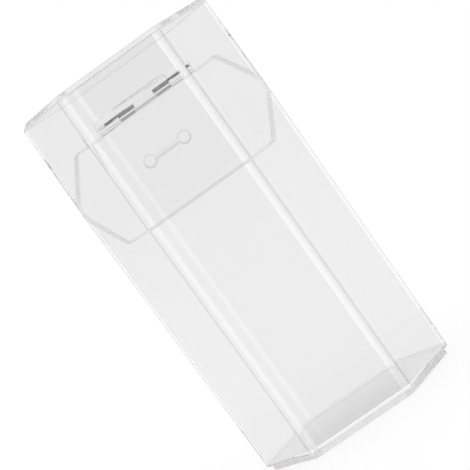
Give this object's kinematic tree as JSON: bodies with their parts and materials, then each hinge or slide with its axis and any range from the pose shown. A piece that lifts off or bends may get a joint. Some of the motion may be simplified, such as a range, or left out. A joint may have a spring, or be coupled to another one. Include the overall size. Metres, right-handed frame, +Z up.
{
  "type": "clear flip-top storage box",
  "caption": "Tall clear eight-sided storage box with a stepped flip-top lid, a pinned back hinge and a sunk thumb grip, for cosmetics and brushes.",
  "frame": {"origin": "centre of the base plate's underside", "axes": "+Z up, -Y towards the front of the box, +X to the right seen from the front, hinge at the back (+Y)"},
  "size_m": [0.1014, 0.0599, 0.1952],
  "materials": {
    "clear_plastic": "clear colourless acrylic, polished",
    "pin_steel": "bright drawn wire"
  },
  "bodies": {
    "body": {"body_shell": "clear_plastic", "base_plate": "clear_plastic", "body_knuckle_left": "clear_plastic", "body_knuckle_right": "clear_plastic", "hinge_pin_left": "pin_steel", "hinge_pin_right": "pin_steel"},
    "lid": {"lid_shell": "clear_plastic", "lid_top_plate": "clear_plastic", "lid_knuckle": "clear_plastic"}
  },
  "joints": [
    {"name": "lid_hinge", "type": "hinge", "parent": "body", "child": "lid", "pos_m": [0, 0.02869, 0.17505], "axis": [-1, 0, 0], "range_deg": [0, 180]}
  ]
}
